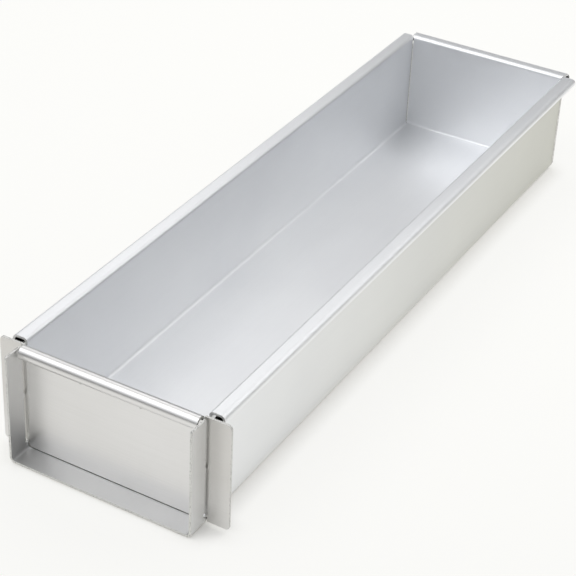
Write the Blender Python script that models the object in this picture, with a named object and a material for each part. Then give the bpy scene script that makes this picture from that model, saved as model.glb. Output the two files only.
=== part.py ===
"""Rectangular cheesecake pan with a lift-out end gate.

The tray is one blank of aluminium sheet: a floor, two long walls and one end wall,
folded up from it. The rims are rolled outwards into open beads, and a weld closes
each folded corner. At the other end the floor and the walls run on past a pair of
slots as an open lip, and the gate drops into those slots from above.

Frame: X across the pan, +Y from the gate to the end wall, +Z up. Each mesh is drawn
with Y zero at the gate's back face, and its object then stands half the pan's length
nearer, so the world's origin lies under the middle of the pan.
"""
import math

import bmesh
import bpy
from mathutils import Matrix, Vector

MM = 0.001

# Driving dimensions
INSIDE_LENGTH = 406.4 * MM
INSIDE_WIDTH = 101.6 * MM
PAN_HEIGHT = 63.5 * MM
SHEET = 1.3 * MM
BEAD_WIDTH = 8.6 * MM
BEAD_DEPTH = 6.0 * MM
ROLL_DIAMETER = 7.2 * MM
LIP_DEPTH = 11.4 * MM
WING_REACH = 12.6 * MM

# Folds and rolled beads
FOLD_RADIUS = 1.8 * MM
RIM_BEND_SHARE = 0.75
BEAD_CLOSING_GAP = 0.4 * MM
SIDE_BEAD_END_SLANT = 3.2 * MM
END_BEAD_END_SLANT = 2.5 * MM
SIDE_BEAD_SETBACK = 1.2 * MM
SETBACK_DEPTH = 0.6 * MM

# Folded corners, open along a seam that widens outwards
CORNER_SEAM = 0.5 * MM
SEAM_SLANT = math.radians(19)

# Lip at the gate end
LEG_TOP_DROP = 1.7 * MM
LEG_CORNER_RADIUS = 0.9 * MM

# Gate slots in the long walls
SLOT_FRONT_CLEARANCE = 1.5 * MM
SLOT_BACK_CLEARANCE = 0.5 * MM
SLOT_FOOT_HEIGHT = 3.9 * MM
RELIEF_HOLE_DIAMETER = 4.8 * MM
NIB_HEIGHT = 4.4 * MM
NIB_REACH = 0.7 * MM

# Gate
GATE_SIDE_CLEARANCE = 1.0 * MM
GATE_FLOOR_CLEARANCE = 0.3 * MM
GATE_FOOT_RADIUS = 2.8 * MM
ROLL_TOP_DROP = 0.5 * MM
ROLL_RELIEF = 0.6 * MM
WING_TOP_DROP = 1.5 * MM
WING_TOP_RADIUS = 2.4 * MM
WING_FOOT_RADIUS = 2.0 * MM
NOTCH_SIDE_CLEARANCE = 0.6 * MM
NOTCH_HEAD_CLEARANCE = 1.6 * MM

# Tack welds under the gate's roll
TACK_LENGTH = 2.2 * MM
TACK_DEPTH = 3.0 * MM
TACK_DROP = 1.0 * MM
TACK_PLACE_SHARE = 1 / 3

# All welds
WELD_GAP = 0.3 * MM
WELD_CROWN = 0.3 * MM
WELD_RIPPLE_PITCH = 2.2 * MM
WELD_RIPPLE_DEPTH = 0.2 * MM

# How far a cutter runs past the faces that it cuts
OVERRUN = 4.0 * MM

# Facets
HALF_TURN_STEPS = 14
FOLD_STEPS = 8
CORNER_STEPS = 6
HOLE_STEPS = 22
NIB_STEPS = 6
WELD_ARC_STEPS = 6
RIPPLE_STEPS = 3

HALF_WIDTH = INSIDE_WIDTH / 2
OUTER_HALF_WIDTH = HALF_WIDTH + SHEET
FOLD_OUTER_RADIUS = FOLD_RADIUS + SHEET
BEAD_RADIUS = BEAD_DEPTH / 2
RIM_BEND_RADIUS = RIM_BEND_SHARE * BEAD_RADIUS
BEAD_HEIGHT = PAN_HEIGHT - BEAD_RADIUS
ROLL_RADIUS = ROLL_DIAMETER / 2
ROLL_HEIGHT = PAN_HEIGHT - ROLL_TOP_DROP - ROLL_RADIUS
LEG_TOP = PAN_HEIGHT - LEG_TOP_DROP
SLOT_FRONT = -SHEET - SLOT_FRONT_CLEARANCE
SLOT_BACK = SLOT_BACK_CLEARANCE
SLOT_MIDDLE = (SLOT_FRONT + SLOT_BACK) / 2
LIP_FRONT = SLOT_FRONT - LIP_DEPTH
PAN_MIDDLE = (LIP_FRONT + INSIDE_LENGTH + BEAD_WIDTH) / 2

ALUMINIUM_FINISHES = {
    "satin tray sheet": ((0.62, 0.63, 0.64, 1.0), 0.34),
    "satin gate sheet": ((0.60, 0.60, 0.59, 1.0), 0.36),
    "weld metal": ((0.48, 0.48, 0.47, 1.0), 0.5),
}


def clear_scene():
    for old in list(bpy.data.objects):
        bpy.data.objects.remove(old, do_unlink=True)


def aluminium(finish):
    """A metal material with the colour and roughness of one finish."""
    colour, roughness = ALUMINIUM_FINISHES[finish]
    material = bpy.data.materials.new("aluminium, " + finish)
    material.use_nodes = True
    shader = material.node_tree.nodes["Principled BSDF"]
    shader.inputs["Base Color"].default_value = colour
    shader.inputs["Metallic"].default_value = 1.0
    shader.inputs["Roughness"].default_value = roughness
    return material


def arc(centre, radius, start, sweep, steps):
    """Points along an arc in a flat outline, with angles in radians."""
    points = []
    for step in range(steps + 1):
        angle = start + sweep * step / steps
        points.append((centre[0] + radius * math.cos(angle), centre[1] + radius * math.sin(angle)))
    return points


def new_object(name, mesh):
    """Close a bmesh into a named object of the scene."""
    bmesh.ops.recalc_face_normals(mesh, faces=mesh.faces)
    data = bpy.data.meshes.new(name)
    mesh.to_mesh(data)
    mesh.free()
    solid = bpy.data.objects.new(name, data)
    bpy.context.collection.objects.link(solid)
    return solid


def grow(mesh, face):
    """Extrude one face in place; returns its new corners and the face they carry."""
    grown = bmesh.ops.extrude_face_region(mesh, geom=[face, *face.edges, *face.verts])
    verts = [item for item in grown["geom"] if isinstance(item, bmesh.types.BMVert)]
    carried = next(item for item in grown["geom"] if isinstance(item, bmesh.types.BMFace))
    return verts, carried


def prism(name, outline, place, run):
    """A flat outline put in space by place() and swept along the vector run."""
    mesh = bmesh.new()
    face = mesh.faces.new([mesh.verts.new(place(*point)) for point in outline])
    verts, _ = grow(mesh, face)
    bmesh.ops.translate(mesh, verts=verts, vec=run)
    return new_object(name, mesh)


def cut(target, cutter):
    """Cut one solid out of another, and take the cutter out of the scene."""
    step = target.modifiers.new("cut", "BOOLEAN")
    step.operation = "DIFFERENCE"
    step.solver = "EXACT"
    step.object = cutter
    depsgraph = bpy.context.evaluated_depsgraph_get()
    result = bpy.data.meshes.new_from_object(target.evaluated_get(depsgraph))
    target.modifiers.remove(step)
    target.data = result
    bpy.data.objects.remove(cutter, do_unlink=True)


def finish(solid, material):
    """Give a solid its material, smooth shading and its place in the world."""
    solid.data.materials.clear()
    solid.data.materials.append(material)
    solid.data.shade_smooth()
    solid.data.set_sharp_from_angle(angle=math.radians(35))
    solid.location = (0, -PAN_MIDDLE, 0)


def roll_steps(radius):
    """Whole steps that a round roll turns before its free edge comes back to the sheet."""
    reach = (radius - SHEET - BEAD_CLOSING_GAP) / radius
    turn = math.pi + math.acos(reach)
    return math.floor(turn / math.pi * HALF_TURN_STEPS)


def roll_edge(mesh, face, steps, pivot, axis, slant):
    """Roll the sheet on from the edge face, round the axis through pivot.

    A positive turn about axis takes the edge the way that the bead rolls. slant is
    how far the bead's ends creep apart along the axis over half a turn; it is a pair,
    for the ends at the axis's tail and at its head. Returns the face at the new edge.
    """
    step_turn = Matrix.Rotation(math.pi / HALF_TURN_STEPS, 3, axis)
    middle = face.calc_center_median().dot(axis)
    for _ in range(steps):
        verts, face = grow(mesh, face)
        bmesh.ops.rotate(mesh, verts=verts, cent=pivot, matrix=step_turn)
        for vert in verts:
            if vert.co.dot(axis) > middle:
                vert.co += axis * slant[1] / HALF_TURN_STEPS
            else:
                vert.co -= axis * slant[0] / HALF_TURN_STEPS
    return face


def roll_rim(mesh, face, inside, out, axis, slant):
    """Bend a wall's top out over a tight corner, and curl it back under itself.

    inside is how far along out the wall's inner face stands. The bead's ends creep
    apart by slant up to its outer edge, and the curl goes on from there.
    """
    quarter = HALF_TURN_STEPS // 2
    up = Vector((0, 0, 1))
    verts, face = grow(mesh, face)
    bmesh.ops.translate(mesh, verts=verts, vec=up * (BEAD_RADIUS - RIM_BEND_RADIUS))
    bend = out * (inside + RIM_BEND_RADIUS) + up * (PAN_HEIGHT - RIM_BEND_RADIUS)
    face = roll_edge(mesh, face, quarter, bend, axis, slant)
    verts, face = grow(mesh, face)
    bmesh.ops.translate(mesh, verts=verts, vec=out * (BEAD_WIDTH - BEAD_RADIUS - RIM_BEND_RADIUS))
    curl = out * (inside + BEAD_WIDTH - BEAD_RADIUS) + up * BEAD_HEIGHT
    face = roll_edge(mesh, face, quarter, curl, axis, slant)
    roll_edge(mesh, face, HALF_TURN_STEPS, curl, axis, (0, 0))


def raise_edge(mesh, face, height):
    """Carry the sheet straight up from the edge face."""
    verts, _ = grow(mesh, face)
    bmesh.ops.translate(mesh, verts=verts, vec=Vector((0, 0, height)))
    return verts


def edge_face(mesh, height, near):
    """The upward face at a height whose centre is nearest to a point in plan."""
    upward = [
        face
        for face in mesh.faces
        if face.normal.z > 0.99 and abs(face.calc_center_median().z - height) < SHEET / 10
    ]
    return min(upward, key=lambda face: (face.calc_center_median().xy - Vector(near)).length)


def fold_outline():
    """Section of a wall and its fold: outwards from the pan's middle, and up."""
    centre = (HALF_WIDTH - FOLD_RADIUS, SHEET + FOLD_RADIUS)
    inner = arc(centre, FOLD_RADIUS, -math.pi / 2, math.pi / 2, FOLD_STEPS)
    outer = arc(centre, FOLD_OUTER_RADIUS, -math.pi / 2, math.pi / 2, FOLD_STEPS)
    top = [(HALF_WIDTH, BEAD_HEIGHT), (OUTER_HALF_WIDTH, BEAD_HEIGHT)]
    return inner + top + outer[::-1]


def folded_blank():
    """Floor, long walls and end wall, folded up with mitred lower corners.

    The section runs down one long wall, turns through a mitre at each corner, and
    comes back along the other. The floor closes it above and below.
    """
    mesh = bmesh.new()
    stations = [[], [], [], []]
    for out, up in fold_outline():
        mitre = INSIDE_LENGTH + out - HALF_WIDTH
        for station, (x, y) in enumerate(((-out, LIP_FRONT), (-out, mitre), (out, mitre), (out, LIP_FRONT))):
            stations[station].append(mesh.verts.new((x, y, up)))
    for first, second in zip(stations, stations[1:]):
        for index in range(len(first) - 1):
            mesh.faces.new((first[index], first[index + 1], second[index + 1], second[index]))
    mesh.faces.new([station[0] for station in stations])
    mesh.faces.new([station[-1] for station in stations])
    mesh.faces.new(stations[0] + stations[3][::-1])
    return new_object("tray", mesh)


def slot_cutter():
    """Both gate slots: a relief hole at the foot, straight sides and a nib.

    At the rim the cut steps back, so that the side beads start clear of the gate.
    """
    half = (SLOT_BACK - SLOT_FRONT) / 2
    hole_radius = RELIEF_HOLE_DIAMETER / 2
    hole_centre = (SLOT_MIDDLE, SLOT_FOOT_HEIGHT + hole_radius)
    shoulder = math.acos(half / hole_radius)
    sweep = math.pi + 2 * shoulder
    outline = arc(hole_centre, hole_radius, shoulder, -sweep, HOLE_STEPS)
    nib_middle = (SLOT_FOOT_HEIGHT + LEG_TOP) / 2
    nib_half = NIB_HEIGHT / 2
    nib_radius = (nib_half ** 2 + NIB_REACH ** 2) / (2 * NIB_REACH)
    nib_turn = math.asin(nib_half / nib_radius)
    nib_centre = (SLOT_FRONT + NIB_REACH - nib_radius, nib_middle)
    outline += arc(nib_centre, nib_radius, -nib_turn, 2 * nib_turn, NIB_STEPS)
    bead_start = SLOT_BACK + SIDE_BEAD_SETBACK
    step = BEAD_HEIGHT - SETBACK_DEPTH
    outline += [(SLOT_FRONT, PAN_HEIGHT + OVERRUN), (bead_start, PAN_HEIGHT + OVERRUN)]
    outline += [(bead_start, step), (SLOT_BACK, step)]
    reach = OUTER_HALF_WIDTH + OVERRUN
    return prism(
        "slots",
        outline,
        lambda along, up: Vector((-reach, along, up)),
        Vector((2 * reach, 0, 0)),
    )


def seam_cutter(side):
    """The open seam of one folded corner, a wedge in plan that widens outwards."""
    apex = Vector((HALF_WIDTH - CORNER_SEAM, INSIDE_LENGTH - CORNER_SEAM))
    reach = SHEET + OVERRUN
    along_end = apex + reach * Vector((math.cos(SEAM_SLANT), math.sin(SEAM_SLANT)))
    along_side = apex + reach * Vector((math.sin(SEAM_SLANT), math.cos(SEAM_SLANT)))
    far = apex + reach * Vector((1, 1))
    foot = SHEET + FOLD_RADIUS
    return prism(
        "seam",
        [apex, along_end, far, along_side],
        lambda out, along: Vector((side * out, along, foot)),
        Vector((0, 0, PAN_HEIGHT - foot)),
    )


def tray():
    """The folded blank with its slots and seams cut and its rims rolled."""
    solid = folded_blank()
    cut(solid, slot_cutter())
    for side in (-1, 1):
        cut(solid, seam_cutter(side))
    mesh = bmesh.new()
    mesh.from_mesh(solid.data)
    mesh.normal_update()
    wall_middle = (SLOT_BACK + INSIDE_LENGTH) / 2
    for side in (-1, 1):
        leg = edge_face(mesh, BEAD_HEIGHT, (side * HALF_WIDTH, SLOT_FRONT - LIP_DEPTH / 2))
        raised = raise_edge(mesh, leg, LEG_TOP - BEAD_HEIGHT)
        front = min(vert.co.y for vert in raised)
        ends = [vert for vert in raised if vert.co.y - front < SHEET / 10]
        corner = [edge for edge in ends[0].link_edges if edge.other_vert(ends[0]) is ends[1]]
        bmesh.ops.bevel(
            mesh,
            geom=corner,
            offset=LEG_CORNER_RADIUS,
            offset_type="OFFSET",
            segments=CORNER_STEPS,
            profile=0.5,
            affect="EDGES",
        )
        rim = edge_face(mesh, BEAD_HEIGHT, (side * HALF_WIDTH, wall_middle))
        slant = (0, SIDE_BEAD_END_SLANT) if side > 0 else (SIDE_BEAD_END_SLANT, 0)
        roll_rim(mesh, rim, HALF_WIDTH, Vector((side, 0, 0)), Vector((0, side, 0)), slant)
    rim = edge_face(mesh, BEAD_HEIGHT, (0, INSIDE_LENGTH))
    slant = (END_BEAD_END_SLANT, END_BEAD_END_SLANT)
    roll_rim(mesh, rim, INSIDE_LENGTH, Vector((0, 1, 0)), Vector((-1, 0, 0)), slant)
    bpy.data.objects.remove(solid, do_unlink=True)
    return new_object("tray", mesh)


def gate_half_outline():
    """Half of the flat gate's edge, from its foot round the wing to its roll."""
    foot = SHEET + GATE_FLOOR_CLEARANCE
    inside = HALF_WIDTH - NOTCH_SIDE_CLEARANCE
    outside = OUTER_HALF_WIDTH + NOTCH_SIDE_CLEARANCE
    notch_head = SLOT_FOOT_HEIGHT + NOTCH_HEAD_CLEARANCE
    tip = OUTER_HALF_WIDTH + WING_REACH
    wing_top = PAN_HEIGHT - WING_TOP_DROP
    roll_end = HALF_WIDTH - GATE_SIDE_CLEARANCE
    quarter = math.pi / 2
    points = arc(
        (inside - GATE_FOOT_RADIUS, foot + GATE_FOOT_RADIUS),
        GATE_FOOT_RADIUS,
        -quarter,
        quarter,
        CORNER_STEPS,
    )
    points += [(inside, notch_head), (outside, notch_head), (outside, foot)]
    points += arc(
        (tip - WING_FOOT_RADIUS, foot + WING_FOOT_RADIUS),
        WING_FOOT_RADIUS,
        -quarter,
        quarter,
        CORNER_STEPS,
    )
    points += arc(
        (tip - WING_TOP_RADIUS, wing_top - WING_TOP_RADIUS),
        WING_TOP_RADIUS,
        0,
        quarter,
        CORNER_STEPS,
    )
    relief = roll_end + ROLL_RELIEF
    relief_foot = ROLL_HEIGHT - ROLL_RELIEF
    points += [(relief, wing_top), (relief, relief_foot), (roll_end, relief_foot)]
    points.append((roll_end, ROLL_HEIGHT))
    return points


def end_gate():
    """The flat gate with its wings and notches, and its rolled top edge."""
    half = gate_half_outline()
    outline = half + [(-out, up) for out, up in reversed(half)]
    flat = prism(
        "gate",
        outline,
        lambda across, up: Vector((across, -SHEET, up)),
        Vector((0, SHEET, 0)),
    )
    mesh = bmesh.new()
    mesh.from_mesh(flat.data)
    mesh.normal_update()
    top = edge_face(mesh, ROLL_HEIGHT, (0, -SHEET / 2))
    pivot = Vector((0, -ROLL_RADIUS, ROLL_HEIGHT))
    roll_edge(mesh, top, roll_steps(ROLL_RADIUS), pivot, Vector((1, 0, 0)), (0, 0))
    bpy.data.objects.remove(flat, do_unlink=True)
    return new_object("end_gate", mesh)


def gate_tack(side):
    """A tack weld in the angle between the gate's roll and its face."""
    place = side * INSIDE_WIDTH * TACK_PLACE_SHARE / 2
    mesh = bmesh.new()
    bmesh.ops.create_uvsphere(mesh, u_segments=16, v_segments=10, radius=1 / 2)
    height = 2 * TACK_DROP + ROLL_RADIUS
    bmesh.ops.scale(mesh, verts=mesh.verts, vec=Vector((TACK_LENGTH, 2 * TACK_DEPTH, height)))
    centre = Vector((place, -SHEET, ROLL_HEIGHT - ROLL_RADIUS))
    bmesh.ops.translate(mesh, verts=mesh.verts, vec=centre)
    blob = new_object("gate_tack", mesh)
    reach = TACK_LENGTH
    plate_face = -SHEET - WELD_GAP
    behind = prism(
        "behind",
        [
            (plate_face, ROLL_HEIGHT - PAN_HEIGHT),
            (plate_face + TACK_DEPTH + OVERRUN, ROLL_HEIGHT - PAN_HEIGHT),
            (plate_face + TACK_DEPTH + OVERRUN, PAN_HEIGHT + OVERRUN),
            (plate_face, PAN_HEIGHT + OVERRUN),
        ],
        lambda along, up: Vector((place - reach, along, up)),
        Vector((2 * reach, 0, 0)),
    )
    cut(blob, behind)
    room = ROLL_RADIUS + WELD_GAP
    roll = prism(
        "roll",
        arc((-ROLL_RADIUS, ROLL_HEIGHT), room, 0, 2 * math.pi, 2 * HALF_TURN_STEPS)[:-1],
        lambda along, up: Vector((place - reach, along, up)),
        Vector((2 * reach, 0, 0)),
    )
    cut(blob, roll)
    return blob


def corner_weld(side):
    """The weld that fills one folded corner's seam, laid in overlapping ripples."""
    half_angle = math.pi / 4 - SEAM_SLANT
    seam = Vector((HALF_WIDTH - CORNER_SEAM, INSIDE_LENGTH - CORNER_SEAM))
    apex = seam + Vector((1, 1)).normalized() * WELD_GAP / math.sin(half_angle)
    crest = math.hypot(SHEET, SHEET)
    foot = SHEET + FOLD_RADIUS + WELD_GAP
    height = BEAD_HEIGHT - BEAD_RADIUS - foot
    ripples = round(height / WELD_RIPPLE_PITCH)
    mesh = bmesh.new()
    rings = []
    for level in range(ripples * RIPPLE_STEPS + 1):
        swell = abs(math.sin(math.pi * level / RIPPLE_STEPS))
        radius = crest + WELD_CROWN - WELD_RIPPLE_DEPTH * (1 - swell)
        up = foot + height * level / (ripples * RIPPLE_STEPS)
        points = [apex] + arc(apex, radius, SEAM_SLANT, 2 * half_angle, WELD_ARC_STEPS)
        rings.append([mesh.verts.new((side * out, along, up)) for out, along in points])
    for lower, upper in zip(rings, rings[1:]):
        for index in range(len(lower)):
            following = (index + 1) % len(lower)
            mesh.faces.new((lower[index], lower[following], upper[following], upper[index]))
    mesh.faces.new(rings[0])
    mesh.faces.new(rings[-1])
    return new_object("corner_weld", mesh)


def build():
    clear_scene()
    tray_finish = aluminium("satin tray sheet")
    gate_finish = aluminium("satin gate sheet")
    weld_finish = aluminium("weld metal")
    pieces = [(tray(), "tray", tray_finish), (end_gate(), "end_gate", gate_finish)]
    for side, hand in ((-1, "left"), (1, "right")):
        pieces.append((corner_weld(side), "corner_weld_" + hand, weld_finish))
        pieces.append((gate_tack(side), "gate_tack_" + hand, weld_finish))
    for solid, name, material in pieces:
        finish(solid, material)
        solid.name = name
        solid.data.name = name


build()
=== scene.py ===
"""Looks of a long rectangular cheesecake pan in satin aluminium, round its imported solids.

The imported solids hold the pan's whole shape. Each one is copied here, the arrises of its
sheared edges are broken, and it gets its finish. The paper under it, the light and the
camera follow a plain white studio shot.
"""
import math

import bpy
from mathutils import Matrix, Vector


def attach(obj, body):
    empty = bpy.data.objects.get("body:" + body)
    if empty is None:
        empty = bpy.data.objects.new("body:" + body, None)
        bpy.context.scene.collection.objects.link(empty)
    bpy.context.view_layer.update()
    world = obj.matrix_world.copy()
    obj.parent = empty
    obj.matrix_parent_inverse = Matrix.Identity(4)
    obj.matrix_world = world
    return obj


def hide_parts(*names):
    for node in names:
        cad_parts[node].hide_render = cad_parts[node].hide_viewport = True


MM = 0.001

# Camera, matched to the rims, the lip and the gate's wings
CAMERA_PLACE = (0.38413, -0.74237, 0.54755)
CAMERA_TURN = (56.989, -2.033, 30.693)
CAMERA_LENS = 111.33
CAMERA_SHIFT = (0.0348, -0.0116)

# The pan, as packed
SHEET = 1.3 * MM
RIM_TOP = 63.5 * MM
INSIDE_HALF = 50.8 * MM
LIP_FRONT = -214.6 * MM
GATE_BACK = -200.4 * MM
END_WALL = 206.0 * MM
BEAD_WIDTH = 8.6 * MM
BEAD_DEPTH = 6.0 * MM
ROLL_RADIUS = 3.6 * MM
ROLL_AXIS = (-204.0 * MM, 59.4 * MM)
JUST_UNDER_ROLL = 55.0 * MM

# How much of a face's normal may point out of the sheet on a cut through it, or along a
# bore, and how much points along an axis on a face square to that axis
CUT_LEAN = 0.5
BORE_LEAN = 0.4
SQUARE_ON = 0.9

# Slots for materials on the tray and the gate
FACE, CUT, BORE = 0, 1, 2

# Sheared edges, with their arrises broken, and welds, melted a little rounder
ARRIS = 0.12 * MM
ARRIS_STEPS = 2
MELT = 0.12 * MM
MELT_STEPS = 2
SMOOTH_ANGLE = math.radians(38)
SHARP_ANGLE = math.radians(50)
FLAT_ANGLE = math.radians(0.5)
FLATS_WEIGHT = 100
MERGE_DISTANCE = 0.002 * MM

# Satin sheet: lightest and darkest tone, and roughness. The tray's tones are lighter and the gate's
# darker than their one sheet would be: painted light on the tray, painted shade on the gate.
TRAY_LIGHT = "#F7F8F9"
TRAY_DARK = "#F1F2F4"
TRAY_ROUGHNESS = 0.50
GATE_LIGHT = "#E6E5E4"
GATE_DARK = "#DCDBD9"
GATE_ROUGHNESS = 0.34

# Its patterns. The grain and the frost of real sheet are finer than these, which are
# drawn coarse enough to show.
DRIFT_SIZE = 70 * MM
GRAIN_LENGTH = 50 * MM
GRAIN_WIDTH = 0.4 * MM
FROST_SIZE = 0.5 * MM
GRAIN_IN_TONE = 0.35
GRAIN_IN_RELIEF = 0.5
PATTERN_SPAN = (0.3, 0.7)
ROUGHNESS_SWING = 0.03
RELIEF_STRENGTH = 0.12
RELIEF_DEPTH = 0.02 * MM

# Painted shade: dark lines in the gaps where the gate stands in the slots and on the floor,
# a darker sheet on the wings and the lip, and on the outside of the walls a darker, warmer
# tone growing towards the end wall. On a real pan such tones may be wear, heat or no more
# than shadow and reflection.
SLOT_GAP_SHADE = "#B4B3B0"
FOOT_GAP_SHADE = "#8C8B88"
WING_AND_LIP_SHADE = "#F3F2F0"
WARM_OUTSIDE_SHADE = "#E0DFD6"
SHADE_EDGE_FADE = 0.3 * MM

# Heights between which the painted shade on the wings grows; on the lip it is full throughout
WING_SHADE_HEIGHTS = (4 * MM, 30 * MM)
LIP_SHADE_HEIGHTS = (-2 * MM, -1 * MM)

# Sheared edges
SHEARED_LIGHT = "#DADAD7"
SHEARED_DARK = "#6E6D6A"
NICK_SIZE = 0.5 * MM
NICK_SPAN = (0.32, 0.44)
NICK_ROUGHNESS = (0.6, 0.4)
NICK_STRENGTH = 0.4
NICK_DEPTH = 0.05 * MM

# Bores of the rolled rims, painted dark as their shade
BORE_SHADE_LIGHT = "#4A4948"
BORE_SHADE_DARK = "#2B2A29"
BORE_ROUGHNESS = 0.7
BORE_SHADE_BLOTCH = 3 * MM

# Welds
WELD_LIGHT = "#E9E9E6"
WELD_DARK = "#C6C5C1"
OXIDE_SIZE = 1.2 * MM
OXIDE_SPAN = (0.35, 0.62)
OXIDE_ROUGHNESS = (0.55, 0.3)
WELD_FROST_SIZE = 0.3 * MM
WELD_STRENGTH = 0.35
WELD_DEPTH = 0.05 * MM

# Paper under the pan, and how far it is lifted towards white near the pan and away from it; the lift
# is painted light, stronger near the pan like a pool of lamplight
FLOOR_WHITE = "#FFFDF6"
LIFT_WHITE = "#FFFFFD"
FLOOR_ROUGHNESS = 0.9
FLOOR_RADIUS = 4.0
FLOOR_SIDES = 96
FLOOR_DROP = 0.2 * MM
NEAR_LIFT = 0.85
FAR_LIFT = 0.7
NEAR_WITHIN = 0.4
FAR_BEYOND = 0.9
CONTACT_REACH = 12 * MM

# Light of the studio round the pan, at each eighth of a turn from the end wall towards
# the right, seen at three heights above the table in degrees, and then overhead
SURROUND = {
    6.0: (0.25, 0.0, 0.0, 0.0, 0.0, 0.0, 0.0, 0.4),
    23.5: (0.45, 0.0, 0.0, 0.0, 1.45, 0.3, 0.0, 0.15),
    48.5: (0.1, 0.0, 0.0, 0.1, 1.8, 1.7, 0.3, 0.1),
}
OVERHEAD = 76.0
OVERHEAD_LEVEL = 0.0
SKY_TINT = (0.96, 0.975, 1.0)

# Soft boxes: place, the point they face, size and power
SOFT_BOXES = {
    "soft box over the end wall": ((0.0, 0.42, 0.75), (0, 0.2, 0.03), (0.9, 0.6), 2.05),
    "soft box on the left": ((-0.65, 0.45, 0.6), (0, 0.15, 0.03), (0.6, 0.6), 1.25),
    "soft box on the right": ((0.65, 0.45, 0.6), (0, 0.15, 0.03), (0.6, 0.6), 2.25),
    "soft box over the gate": ((-0.35, -0.3, 0.88), (0, -0.15, 0.05), (0.6, 0.6), 2.0),
}

# Sockets of the Mix node share their names, so they are reached by number
SHARE = 0
NUMBER_A, NUMBER_B = 2, 3
COLOUR_A, COLOUR_B = 6, 7
MIXED_NUMBER, MIXED_COLOUR = 0, 2


def linear(hex_colour):
    """An sRGB hex colour as linear red, green, blue and alpha."""
    parts = [int(hex_colour[place:place + 2], 16) / 255 for place in (1, 3, 5)]
    return [
        part / 12.92 if part <= 0.04045 else ((part + 0.055) / 1.055) ** 2.4
        for part in parts
    ] + [1.0]


def add(tree, kind, inputs=(), **settings):
    """Add a node; inputs pairs a socket with its value or with another node's socket."""
    node = tree.nodes.new(kind)
    for name, value in settings.items():
        setattr(node, name, value)
    for socket, value in dict(inputs).items():
        if isinstance(value, bpy.types.NodeSocket):
            tree.links.new(value, node.inputs[socket])
        else:
            node.inputs[socket].default_value = value
    return node


def shaded(name):
    """A new material, its node tree and its shader."""
    material = bpy.data.materials.new(name)
    material.use_nodes = True
    return material, material.node_tree, material.node_tree.nodes["Principled BSDF"]


def painted_gap_and_outer_shade(tree, parts, shown, axis, low, high, colour, foot, top):
    """Painted shade in the gap where the gate and the tray meet, and more painted shade past it.

    The dark line lies from low to high, measured out to both sides along X, or towards the
    gate end along Y. Past it the sheet is darkened with painted shade, by degrees from foot up to top.
    """
    way = "ABSOLUTE" if axis == "X" else "MULTIPLY"
    along = add(tree, "ShaderNodeMath", {0: parts[axis], 1: -1.0}, operation=way).outputs[0]
    off = add(tree, "ShaderNodeMath", {0: along, 1: (low + high) / 2}, operation="SUBTRACT")
    near = add(tree, "ShaderNodeMath", {0: off.outputs[0]}, operation="ABSOLUTE")
    reach = (high - low) / 2
    gap_shade = add(
        tree,
        "ShaderNodeMapRange",
        {
            "Value": near.outputs[0],
            "From Min": reach,
            "From Max": reach + SHADE_EDGE_FADE,
            "To Min": 1.0,
            "To Max": 0.0,
        },
    )
    gap_shaded = add(
        tree,
        "ShaderNodeMix",
        {SHARE: gap_shade.outputs["Result"], COLOUR_A: shown, COLOUR_B: linear(colour)},
        data_type="RGBA",
    )
    beyond = add(
        tree,
        "ShaderNodeMapRange",
        {"Value": along, "From Min": high, "From Max": high + SHADE_EDGE_FADE},
    )
    high_up = add(
        tree,
        "ShaderNodeMapRange",
        {"Value": parts["Z"], "From Min": foot, "From Max": top},
    )
    outer_shade = add(
        tree,
        "ShaderNodeMath",
        {0: beyond.outputs["Result"], 1: high_up.outputs["Result"]},
        operation="MULTIPLY",
    )
    outer_shaded = add(
        tree,
        "ShaderNodeMix",
        {
            SHARE: outer_shade.outputs[0],
            COLOUR_A: gap_shaded.outputs[MIXED_COLOUR],
            COLOUR_B: linear(WING_AND_LIP_SHADE),
        },
        data_type="RGBA",
        blend_type="MULTIPLY",
    )
    return outer_shaded.outputs[MIXED_COLOUR]


def warm_shaded_outside(tree, parts, shown, start, end, colour):
    """Painted shade with a warm tint on the outside of the walls, growing from start to end along Y.
    """
    out = add(tree, "ShaderNodeMath", {0: parts["X"]}, operation="ABSOLUTE")
    outside = add(
        tree,
        "ShaderNodeMapRange",
        {
            "Value": out.outputs[0],
            "From Min": INSIDE_HALF + SHEET / 2,
            "From Max": INSIDE_HALF + SHEET,
        },
    )
    behind = add(
        tree,
        "ShaderNodeMapRange",
        {
            "Value": parts["Y"],
            "From Min": END_WALL + SHEET / 2,
            "From Max": END_WALL + SHEET,
        },
    )
    round_it = add(
        tree,
        "ShaderNodeMath",
        {0: outside.outputs["Result"], 1: behind.outputs["Result"]},
        operation="MAXIMUM",
    )
    far = add(
        tree,
        "ShaderNodeMapRange",
        {"Value": parts["Y"], "From Min": start, "From Max": end},
    )
    below_bead = add(
        tree,
        "ShaderNodeMapRange",
        {
            "Value": parts["Z"],
            "From Min": RIM_TOP - BEAD_DEPTH,
            "From Max": RIM_TOP - BEAD_DEPTH + SHEET,
            "To Min": 1.0,
            "To Max": 0.0,
        },
    )
    wall = add(
        tree,
        "ShaderNodeMath",
        {0: round_it.outputs[0], 1: below_bead.outputs["Result"]},
        operation="MULTIPLY",
    )
    amount = add(
        tree,
        "ShaderNodeMath",
        {0: wall.outputs[0], 1: far.outputs["Result"]},
        operation="MULTIPLY",
    )
    warm_shaded = add(
        tree,
        "ShaderNodeMix",
        {SHARE: amount.outputs[0], COLOUR_A: shown, COLOUR_B: linear(colour)},
        data_type="RGBA",
        blend_type="MULTIPLY",
    )
    return warm_shaded.outputs[MIXED_COLOUR]


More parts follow.
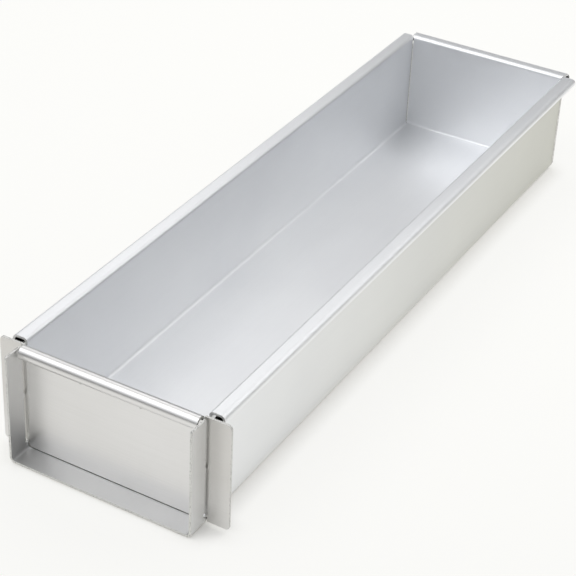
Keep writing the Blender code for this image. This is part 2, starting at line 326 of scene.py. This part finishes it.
def satin_sheet(name, light, dark, grain, roughness, gap_shade_settings, outside_shade_settings=None):
    """Mill-rolled aluminium sheet, etched and clear anodised.

    Etching leaves an even satin with a fine frost. Under it the rolling grain shows as
    very fine streaks, and the tone drifts a little over a hand's width. grain is how far
    the streaks reach along X, Y and Z. The last two settings give the painted shade in
    the gaps and past them, and on the outside of the walls.
    """
    material, tree, shader = shaded(name)
    shader.inputs["Metallic"].default_value = 1.0
    place = add(tree, "ShaderNodeTexCoord").outputs["Object"]
    parts = add(tree, "ShaderNodeSeparateXYZ", {"Vector": place}).outputs
    drift = add(
        tree,
        "ShaderNodeTexNoise",
        {"Vector": place, "Scale": 1 / DRIFT_SIZE, "Detail": 2.0},
    )
    across = add(
        tree,
        "ShaderNodeMapping",
        {"Vector": place, "Scale": [1 / reach for reach in grain]},
    )
    streaks = add(
        tree,
        "ShaderNodeTexNoise",
        {"Vector": across.outputs["Vector"], "Scale": 1.0, "Detail": 3.0, "Roughness": 0.6},
    )
    frost = add(
        tree,
        "ShaderNodeTexNoise",
        {"Vector": place, "Scale": 1 / FROST_SIZE, "Detail": 2.0},
    )
    blend = add(
        tree,
        "ShaderNodeMix",
        {SHARE: GRAIN_IN_TONE, NUMBER_A: drift.outputs["Fac"], NUMBER_B: streaks.outputs["Fac"]},
        data_type="FLOAT",
    )
    tone = add(tree, "ShaderNodeValToRGB", {"Fac": blend.outputs[MIXED_NUMBER]})
    for stop, at, colour in zip(tone.color_ramp.elements, PATTERN_SPAN, (dark, light)):
        stop.position = at
        stop.color = linear(colour)
    shown = painted_gap_and_outer_shade(tree, parts, tone.outputs["Color"], *gap_shade_settings)
    if outside_shade_settings:
        shown = warm_shaded_outside(tree, parts, shown, *outside_shade_settings)
    tree.links.new(shown, shader.inputs["Base Color"])
    matt = add(
        tree,
        "ShaderNodeMapRange",
        {
            "Value": frost.outputs["Fac"],
            "From Min": PATTERN_SPAN[0],
            "From Max": PATTERN_SPAN[1],
            "To Min": roughness - ROUGHNESS_SWING,
            "To Max": roughness + ROUGHNESS_SWING,
        },
    )
    tree.links.new(matt.outputs["Result"], shader.inputs["Roughness"])
    relief = add(
        tree,
        "ShaderNodeMix",
        {SHARE: GRAIN_IN_RELIEF, NUMBER_A: frost.outputs["Fac"], NUMBER_B: streaks.outputs["Fac"]},
        data_type="FLOAT",
    )
    bump = add(
        tree,
        "ShaderNodeBump",
        {
            "Height": relief.outputs[MIXED_NUMBER],
            "Strength": RELIEF_STRENGTH,
            "Distance": RELIEF_DEPTH,
        },
    )
    tree.links.new(bump.outputs["Normal"], shader.inputs["Normal"])
    return material


def sheared_edge():
    """Aluminium where a shear has cut through the sheet.

    The torn metal is duller than the satin faces, with dark nicks about half a
    millimetre apart where the blade dragged.
    """
    material, tree, shader = shaded("bare aluminium, sheared edge")
    shader.inputs["Metallic"].default_value = 1.0
    place = add(tree, "ShaderNodeTexCoord").outputs["Object"]
    nicks = add(
        tree,
        "ShaderNodeTexNoise",
        {"Vector": place, "Scale": 1 / NICK_SIZE, "Detail": 3.0},
    )
    tone = add(tree, "ShaderNodeValToRGB", {"Fac": nicks.outputs["Fac"]})
    for stop, at, colour in zip(tone.color_ramp.elements, NICK_SPAN, (SHEARED_DARK, SHEARED_LIGHT)):
        stop.position = at
        stop.color = linear(colour)
    tree.links.new(tone.outputs["Color"], shader.inputs["Base Color"])
    matt = add(
        tree,
        "ShaderNodeMapRange",
        {"Value": nicks.outputs["Fac"], "To Min": NICK_ROUGHNESS[0], "To Max": NICK_ROUGHNESS[1]},
    )
    tree.links.new(matt.outputs["Result"], shader.inputs["Roughness"])
    bump = add(
        tree,
        "ShaderNodeBump",
        {"Height": nicks.outputs["Fac"], "Strength": NICK_STRENGTH, "Distance": NICK_DEPTH},
    )
    tree.links.new(bump.outputs["Normal"], shader.inputs["Normal"])
    return material


def shade_painted_bore():
    """The inside of a rolled rim: bare aluminium painted dark, as painted shade in the narrow bore."""
    material, tree, shader = shaded("bare aluminium, bore painted in shade")
    shader.inputs["Metallic"].default_value = 1.0
    shader.inputs["Roughness"].default_value = BORE_ROUGHNESS
    place = add(tree, "ShaderNodeTexCoord").outputs["Object"]
    shade_blotches = add(
        tree,
        "ShaderNodeTexNoise",
        {"Vector": place, "Scale": 1 / BORE_SHADE_BLOTCH, "Detail": 3.0},
    )
    tone = add(tree, "ShaderNodeValToRGB", {"Fac": shade_blotches.outputs["Fac"]})
    for stop, colour in zip(tone.color_ramp.elements, (BORE_SHADE_DARK, BORE_SHADE_LIGHT)):
        stop.color = linear(colour)
    tree.links.new(tone.outputs["Color"], shader.inputs["Base Color"])
    return material


def weld_metal():
    """Aluminium weld as laid: frosted ripples, with a little dull oxide between them."""
    material, tree, shader = shaded("aluminium weld, as laid")
    shader.inputs["Metallic"].default_value = 1.0
    place = add(tree, "ShaderNodeTexCoord").outputs["Object"]
    oxide = add(
        tree,
        "ShaderNodeTexNoise",
        {"Vector": place, "Scale": 1 / OXIDE_SIZE, "Detail": 5.0, "Roughness": 0.65},
    )
    frost = add(
        tree,
        "ShaderNodeTexNoise",
        {"Vector": place, "Scale": 1 / WELD_FROST_SIZE, "Detail": 3.0},
    )
    tone = add(tree, "ShaderNodeValToRGB", {"Fac": oxide.outputs["Fac"]})
    for stop, at, colour in zip(tone.color_ramp.elements, OXIDE_SPAN, (WELD_DARK, WELD_LIGHT)):
        stop.position = at
        stop.color = linear(colour)
    tree.links.new(tone.outputs["Color"], shader.inputs["Base Color"])
    matt = add(
        tree,
        "ShaderNodeMapRange",
        {"Value": oxide.outputs["Fac"], "To Min": OXIDE_ROUGHNESS[0], "To Max": OXIDE_ROUGHNESS[1]},
    )
    tree.links.new(matt.outputs["Result"], shader.inputs["Roughness"])
    bump = add(
        tree,
        "ShaderNodeBump",
        {"Height": frost.outputs["Fac"], "Strength": WELD_STRENGTH, "Distance": WELD_DEPTH},
    )
    tree.links.new(bump.outputs["Normal"], shader.inputs["Normal"])
    return material


def matt_floor():
    """Seamless white studio paper.

    Rays that look at it see it lifted towards white, a little less far from the pan, which
    paints a pool of light round the pan, and hardly at all right where something stands on it.
    """
    material, tree, shader = shaded("matt white studio paper")
    shader.inputs["Base Color"].default_value = linear(FLOOR_WHITE)
    shader.inputs["Roughness"].default_value = FLOOR_ROUGHNESS
    shader.inputs["Specular IOR Level"].default_value = 0.0
    place = add(tree, "ShaderNodeTexCoord").outputs["Object"]
    away = add(tree, "ShaderNodeVectorMath", {0: place}, operation="LENGTH")
    reach = add(
        tree,
        "ShaderNodeMapRange",
        {"Value": away.outputs["Value"], "From Min": NEAR_WITHIN, "From Max": FAR_BEYOND},
        interpolation_type="SMOOTHSTEP",
    )
    path = add(tree, "ShaderNodeLightPath").outputs
    seen = add(
        tree,
        "ShaderNodeMath",
        {0: path["Is Camera Ray"], 1: path["Is Glossy Ray"]},
        operation="MAXIMUM",
    )
    looked = add(
        tree,
        "ShaderNodeMath",
        {0: seen.outputs[0], 1: path["Is Transmission Ray"]},
        operation="MAXIMUM",
    )
    open_air = add(tree, "ShaderNodeAmbientOcclusion", {"Distance": CONTACT_REACH})
    clear = add(
        tree,
        "ShaderNodeMath",
        {0: looked.outputs[0], 1: open_air.outputs["AO"]},
        operation="MULTIPLY",
    )
    fade = add(
        tree,
        "ShaderNodeMapRange",
        {"Value": reach.outputs["Result"], "To Min": NEAR_LIFT, "To Max": FAR_LIFT},
    )
    share = add(
        tree,
        "ShaderNodeMath",
        {0: clear.outputs[0], 1: fade.outputs["Result"]},
        operation="MULTIPLY",
    )
    paper = add(tree, "ShaderNodeEmission", {"Color": linear(LIFT_WHITE), "Strength": 1.0})
    lifted = add(
        tree,
        "ShaderNodeMixShader",
        {0: share.outputs[0], 1: shader.outputs["BSDF"], 2: paper.outputs["Emission"]},
    )
    tree.links.new(lifted.outputs["Shader"], tree.nodes["Material Output"].inputs["Surface"])
    return material


def only(*chosen):
    """Leave just these objects selected, the first of them active."""
    bpy.ops.object.select_all(action="DESELECT")
    for one in chosen:
        one.select_set(True)
    bpy.context.view_layer.objects.active = chosen[0]


def merged_copy(node, name):
    """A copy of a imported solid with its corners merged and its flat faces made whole."""
    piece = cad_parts[node].copy()
    piece.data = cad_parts[node].data.copy()
    for key in list(piece.keys()):
        del piece[key]
    piece.parent = None
    piece.name = name
    piece.data.name = name
    bpy.context.scene.collection.objects.link(piece)
    piece.data.materials.clear()
    only(piece)
    bpy.ops.object.mode_set(mode="EDIT")
    bpy.ops.mesh.select_all(action="SELECT")
    bpy.ops.mesh.remove_doubles(threshold=MERGE_DISTANCE)
    bpy.ops.mesh.customdata_custom_splitnormals_clear()
    bpy.ops.mesh.dissolve_limited(angle_limit=FLAT_ANGLE)
    bpy.ops.object.mode_set(mode="OBJECT")
    return piece


def cut_through_tray(middle, normal):
    """Whether a face of the tray is a cut through its sheet."""
    wall = INSIDE_HALF < abs(middle.x) < INSIDE_HALF + SHEET and abs(normal.x) < CUT_LEAN
    end = END_WALL < middle.y < END_WALL + SHEET and abs(normal.y) < CUT_LEAN
    lip = middle.y < LIP_FRONT + SHEET / 2 and normal.y < -SQUARE_ON
    return wall or end or lip


def within_bead(out, up, along):
    """Whether a place lies in the bore of a rim's bead, on a face that runs along it."""
    across = INSIDE_HALF + SHEET / 2 < out < INSIDE_HALF + BEAD_WIDTH - SHEET
    height = RIM_TOP - BEAD_DEPTH + SHEET < up < RIM_TOP - SHEET
    return across and height and abs(along) < BORE_LEAN


def bore_of_tray(middle, normal):
    """Whether a face of the tray lines the bore of one of its rims."""
    place = middle + normal * SHEET / 2
    side = within_bead(abs(place.x), place.z, normal.y)
    return side or within_bead(place.y - END_WALL + INSIDE_HALF, place.z, normal.x)


def cut_through_gate(middle, normal):
    """Whether a face of the gate is a cut through its sheet."""
    plate = GATE_BACK - SHEET < middle.y < GATE_BACK and abs(normal.y) < CUT_LEAN
    in_roll = middle.z > JUST_UNDER_ROLL and middle.y < GATE_BACK - SHEET
    return plate or (in_roll and abs(normal.x) > SQUARE_ON)


def bore_of_gate(middle, normal):
    """Whether a face of the gate lines the bore of its roll."""
    place = middle + normal * SHEET / 2
    reach = math.hypot(place.y - ROLL_AXIS[0], place.z - ROLL_AXIS[1])
    return reach < ROLL_RADIUS - SHEET and abs(normal.x) < BORE_LEAN


def sheet_piece(node, name, finish, is_cut, is_bore, body):
    """A packed sheet part with dull cuts and bores painted dark as shade, its arrises broken."""
    piece = merged_copy(node, name)
    for material in (finish, edge_finish, bore_shade_finish):
        piece.data.materials.append(material)
    for face in piece.data.polygons:
        if is_bore(face.center, face.normal):
            face.material_index = BORE
        else:
            face.material_index = CUT if is_cut(face.center, face.normal) else FACE
    ease = piece.modifiers.new("broken arrises", "BEVEL")
    ease.width = ARRIS
    ease.segments = ARRIS_STEPS
    ease.limit_method = "ANGLE"
    ease.angle_limit = SHARP_ANGLE
    ease.use_clamp_overlap = False
    ease.material = CUT
    ease.miter_outer = "MITER_ARC"
    only(piece)
    bpy.ops.object.modifier_apply(modifier=ease.name)
    bpy.ops.object.shade_smooth_by_angle(angle=SMOOTH_ANGLE)
    flats = piece.modifiers.new("level flats", "WEIGHTED_NORMAL")
    flats.mode = "FACE_AREA"
    flats.weight = FLATS_WEIGHT
    flats.keep_sharp = True
    bpy.ops.object.modifier_apply(modifier=flats.name)
    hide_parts(node)
    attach(piece, body)


def weld_piece(node, name, finish, body):
    """A packed weld, melted a little rounder."""
    piece = merged_copy(node, name)
    piece.data.materials.append(finish)
    soften = piece.modifiers.new("melted round", "BEVEL")
    soften.width = MELT
    soften.segments = MELT_STEPS
    soften.limit_method = "ANGLE"
    soften.angle_limit = SHARP_ANGLE
    only(piece)
    bpy.ops.object.modifier_apply(modifier=soften.name)
    bpy.ops.object.shade_smooth_by_angle(angle=SMOOTH_ANGLE)
    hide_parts(node)
    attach(piece, body)


def studio_floor():
    """The paper that the pan stands on, a hair below its underside."""
    bpy.ops.object.select_all(action="DESELECT")
    bpy.ops.mesh.primitive_circle_add(
        vertices=FLOOR_SIDES, radius=FLOOR_RADIUS, fill_type="NGON", location=(0, 0, -FLOOR_DROP)
    )
    floor = bpy.context.active_object
    floor.name = "floor"
    floor.data.materials.append(matt_floor())


def soft_box(name, place, aim, size, power):
    """A rectangular lamp at a place, turned to face a point."""
    bpy.ops.object.light_add(type="AREA", location=place)
    lamp = bpy.context.active_object
    lamp.name = name
    lamp.data.shape = "RECTANGLE"
    lamp.data.size, lamp.data.size_y = size
    lamp.data.energy = power
    lamp.rotation_mode = "QUATERNION"
    lamp.rotation_quaternion = (Vector(place) - Vector(aim)).to_track_quat("Z", "Y")


def studio_world():
    """Soft light round the table, in rings that blend into each other with height."""
    world = bpy.data.worlds.new("white studio")
    bpy.context.scene.world = world
    world.use_nodes = True
    tree = world.node_tree
    brightest = max(max(levels) for levels in SURROUND.values())
    direction = add(tree, "ShaderNodeTexCoord").outputs["Generated"]
    parts = add(tree, "ShaderNodeSeparateXYZ", {"Vector": direction}).outputs
    bearing = add(tree, "ShaderNodeMath", {0: parts["X"], 1: parts["Y"]}, operation="ARCTAN2")
    turns = add(tree, "ShaderNodeMath", {0: bearing.outputs[0], 1: 2 * math.pi}, operation="DIVIDE")
    turn = add(tree, "ShaderNodeMath", {0: turns.outputs[0]}, operation="FRACT")
    heights = list(SURROUND) + [OVERHEAD]
    rings = []
    for levels in SURROUND.values():
        ring = add(tree, "ShaderNodeValToRGB", {"Fac": turn.outputs[0]})
        for place in range(1, len(levels)):
            ring.color_ramp.elements.new(place / len(levels))
        for stop, level in zip(ring.color_ramp.elements, levels + levels[:1]):
            stop.color = [level / brightest * tint for tint in SKY_TINT] + [1.0]
        rings.append(ring.outputs["Color"])
    rings.append([OVERHEAD_LEVEL / brightest * tint for tint in SKY_TINT] + [1.0])
    shown = rings[0]
    for lower, upper, ring in zip(heights, heights[1:], rings[1:]):
        rise = add(
            tree,
            "ShaderNodeMapRange",
            {
                "Value": parts["Z"],
                "From Min": math.sin(math.radians(lower)),
                "From Max": math.sin(math.radians(upper)),
            },
        )
        blend = add(
            tree,
            "ShaderNodeMix",
            {SHARE: rise.outputs["Result"], COLOUR_A: shown, COLOUR_B: ring},
            data_type="RGBA",
        )
        shown = blend.outputs[MIXED_COLOUR]
    back = tree.nodes["Background"]
    tree.links.new(shown, back.inputs["Color"])
    back.inputs["Strength"].default_value = brightest


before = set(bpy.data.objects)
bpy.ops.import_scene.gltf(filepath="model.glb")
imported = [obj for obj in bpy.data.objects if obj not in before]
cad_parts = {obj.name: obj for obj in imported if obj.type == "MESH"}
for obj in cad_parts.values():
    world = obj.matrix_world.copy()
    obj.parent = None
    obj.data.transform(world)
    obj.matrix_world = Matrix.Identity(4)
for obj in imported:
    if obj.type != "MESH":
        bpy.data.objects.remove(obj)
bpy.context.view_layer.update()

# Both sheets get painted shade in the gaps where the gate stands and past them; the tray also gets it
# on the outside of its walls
tray_finish = satin_sheet(
    "satin anodised aluminium, tray",
    TRAY_LIGHT,
    TRAY_DARK,
    (GRAIN_WIDTH, GRAIN_LENGTH, GRAIN_WIDTH),
    TRAY_ROUGHNESS,
    ("Y", -GATE_BACK, SHEET - GATE_BACK, FOOT_GAP_SHADE) + LIP_SHADE_HEIGHTS,
    (GATE_BACK, END_WALL, WARM_OUTSIDE_SHADE),
)
gate_finish = satin_sheet(
    "satin anodised aluminium, gate",
    GATE_LIGHT,
    GATE_DARK,
    (GRAIN_LENGTH, GRAIN_WIDTH, GRAIN_WIDTH),
    GATE_ROUGHNESS,
    ("X", INSIDE_HALF, INSIDE_HALF + SHEET, SLOT_GAP_SHADE) + WING_SHADE_HEIGHTS,
)
edge_finish = sheared_edge()
bore_shade_finish = shade_painted_bore()
weld_finish = weld_metal()

sheet_piece("tray", "folded_tray", tray_finish, cut_through_tray, bore_of_tray, "tray")
sheet_piece("end_gate", "lift_out_gate", gate_finish, cut_through_gate, bore_of_gate, "gate")
for hand in ("left", "right"):
    weld_piece("corner_weld_" + hand, "corner_bead_" + hand, weld_finish, "tray")
    weld_piece("gate_tack_" + hand, "roll_tack_" + hand, weld_finish, "gate")

studio_floor()
studio_world()
for name, (place, aim, size, power) in SOFT_BOXES.items():
    soft_box(name, place, aim, size, power)

bpy.ops.object.camera_add(location=CAMERA_PLACE, rotation=[math.radians(turn) for turn in CAMERA_TURN])
camera = bpy.context.active_object
camera.data.lens = CAMERA_LENS
camera.data.shift_x, camera.data.shift_y = CAMERA_SHIFT
bpy.context.scene.camera = camera
bpy.context.scene.view_settings.view_transform = "Standard"
